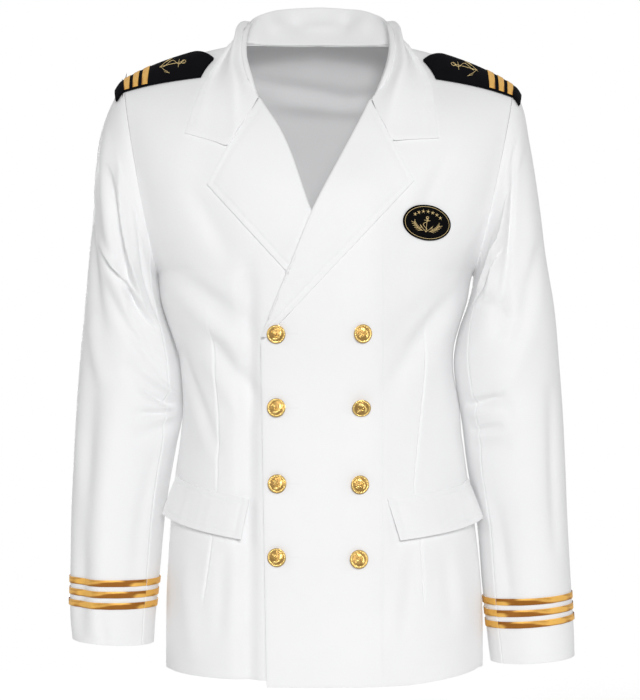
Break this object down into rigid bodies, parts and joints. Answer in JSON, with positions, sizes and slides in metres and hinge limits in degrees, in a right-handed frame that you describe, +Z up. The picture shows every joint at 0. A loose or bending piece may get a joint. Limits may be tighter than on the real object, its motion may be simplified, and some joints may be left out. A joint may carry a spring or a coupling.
{
  "type": "ship captain uniform jacket",
  "caption": "Double-breasted white uniform jacket, hollow as worn, with turned lapels, pocket flaps, shank buttons, shoulder boards, a chest patch and cuff ribbons.",
  "frame": {"origin": "between the shoulders at the base of the neck, where the wearer's shoulders hold the jacket up", "axes": "+Z up towards the collar, +X towards the wearer's left sleeve (the viewer's right), -Y towards the front"},
  "size_m": [0.6251, 0.2753, 0.8347],
  "materials": {
    "cloth": "white twill, pressed, faint sheen",
    "board": "near-black napped cloth over a stiff pad",
    "braid": "gold satin ribbon and braid",
    "gold": "bright gilt, embossed",
    "patch": "black embroidered twill"
  },
  "bodies": {
    "root": {"back": "cloth", "collar": "cloth", "front_left": "cloth", "lapel_left": "cloth", "sleeve_left": "cloth", "undersleeve_left": "cloth", "flap_left": "cloth", "board_left": "board", "stripe_left_1": "braid", "stripe_left_2": "braid", "stripe_left_3": "braid", "ribbon_left_1": "braid", "ribbon_left_2": "braid", "ribbon_left_3": "braid", "front_right": "cloth", "lapel_right": "cloth", "sleeve_right": "cloth", "undersleeve_right": "cloth", "flap_right": "cloth", "board_right": "board", "stripe_right_1": "braid", "stripe_right_2": "braid", "stripe_right_3": "braid", "ribbon_right_1": "braid", "ribbon_right_2": "braid", "ribbon_right_3": "braid", "patch": "patch", "button_edge_1": "gold", "button_edge_2": "gold", "button_edge_3": "gold", "button_edge_4": "gold", "button_row_1": "gold", "button_row_2": "gold", "button_row_3": "gold", "button_row_4": "gold"}
  },
  "joints": []
}
